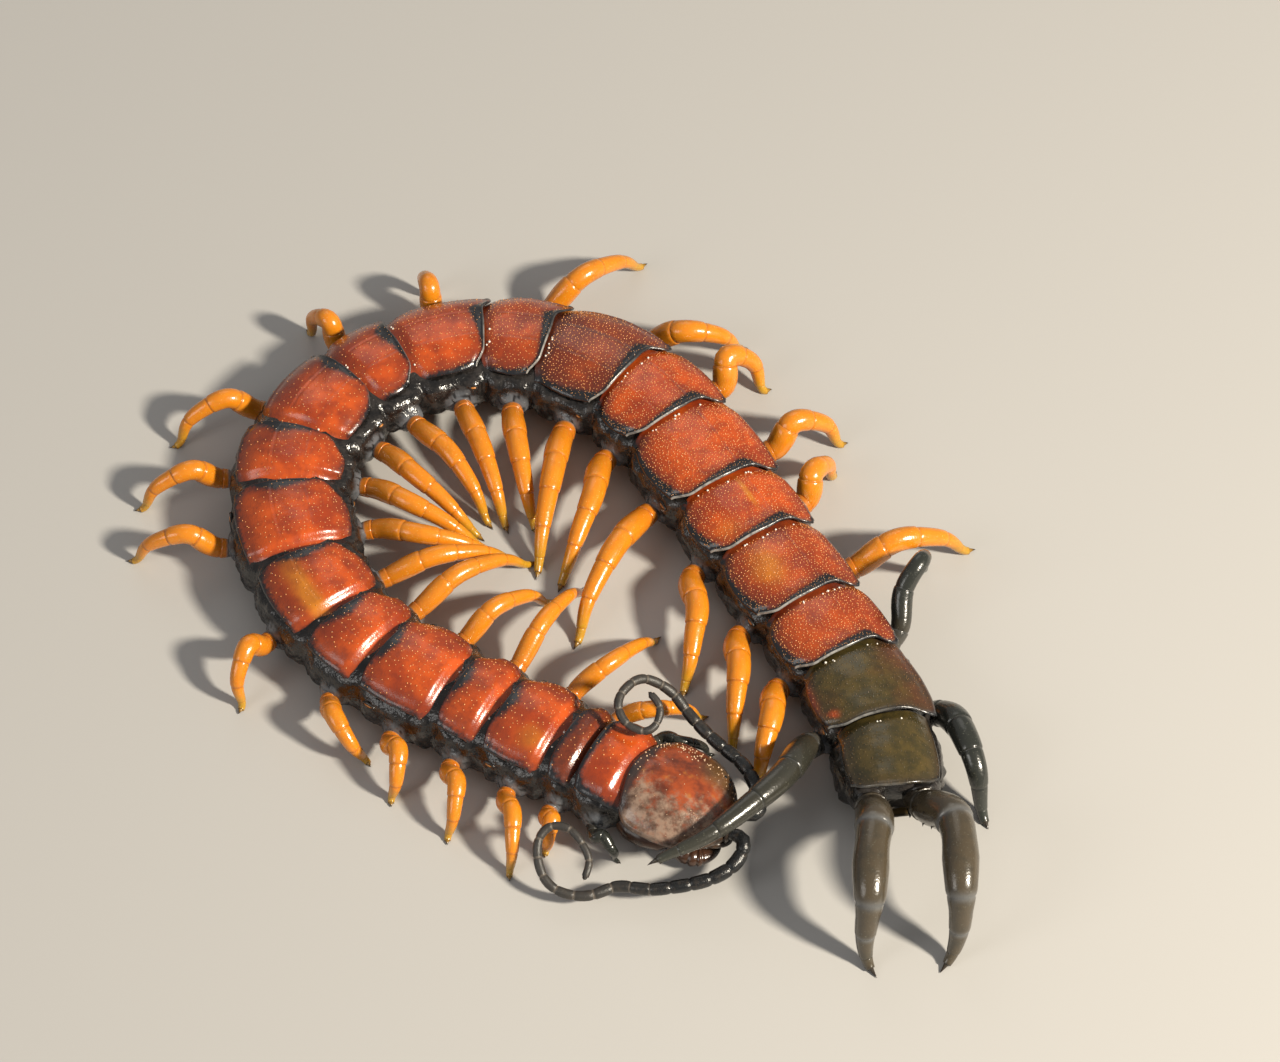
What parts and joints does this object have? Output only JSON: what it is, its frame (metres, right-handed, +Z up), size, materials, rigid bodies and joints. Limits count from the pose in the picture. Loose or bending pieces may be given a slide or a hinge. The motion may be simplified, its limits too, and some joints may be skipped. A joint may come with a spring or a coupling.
{
  "type": "giant centipede",
  "caption": "Life-size giant centipede curled in an open C: overlapping red-brown back plates, amber walking legs, dark olive tail, black tail legs and coiled dark feelers.",
  "frame": {"origin": "centre of the footprint of the whole animal, on the floor that it lies on", "axes": "+Z up, away from the floor; +Y away from the viewer of the picture; +X to the viewer's right"},
  "size_m": [0.0616, 0.0636, 0.0074],
  "materials": {
    "trunk": "glossy red-brown back plates with black rear bands, over dark wrinkled flanks",
    "hind_trunk": "satin dark olive plates with a thin orange-brown margin",
    "head": "satin dark red-brown and olive shell",
    "leg": "glossy amber orange, a little translucent, with dark rings at the joints",
    "dark_leg": "glossy blue-black shell with grey joint membranes",
    "antenna": "dark grey, finely haired, with thin pale rings"
  },
  "bodies": {
    "root": {"head": "head", "claw_plate": "head", "venom_claw_left": "dark_leg", "venom_claw_right": "dark_leg", "antenna_left": "antenna", "antenna_right": "antenna", "trunk_01_02": "trunk", "trunk_03_04": "trunk", "trunk_05_06": "trunk", "trunk_07_08": "trunk", "trunk_09_10": "trunk", "trunk_11_12": "trunk", "trunk_13_14": "trunk", "trunk_15_16": "trunk", "trunk_17_18": "trunk", "trunk_19_20": "hind_trunk", "trunk_21": "hind_trunk", "leg_left_01": "dark_leg", "leg_left_02": "leg", "leg_left_03": "leg", "leg_left_04": "leg", "leg_left_05": "leg", "leg_left_06": "leg", "leg_left_07": "leg", "leg_left_08": "leg", "leg_left_09": "leg", "leg_left_10": "leg", "leg_left_11": "leg", "leg_left_12": "leg", "leg_left_13": "leg", "leg_left_14": "leg", "leg_left_15": "leg", "leg_left_16": "leg", "leg_left_17": "leg", "leg_left_18": "leg", "leg_left_19": "leg", "leg_left_20": "dark_leg", "leg_left_21": "dark_leg", "leg_right_01": "dark_leg", "leg_right_02": "leg", "leg_right_03": "leg", "leg_right_04": "leg", "leg_right_05": "leg", "leg_right_06": "leg", "leg_right_07": "leg", "leg_right_08": "leg", "leg_right_09": "leg", "leg_right_10": "leg", "leg_right_11": "leg", "leg_right_12": "leg", "leg_right_13": "leg", "leg_right_14": "leg", "leg_right_15": "leg", "leg_right_16": "leg", "leg_right_17": "leg", "leg_right_18": "leg", "leg_right_19": "dark_leg", "leg_right_20": "dark_leg", "leg_right_21": "dark_leg"}
  },
  "joints": []
}
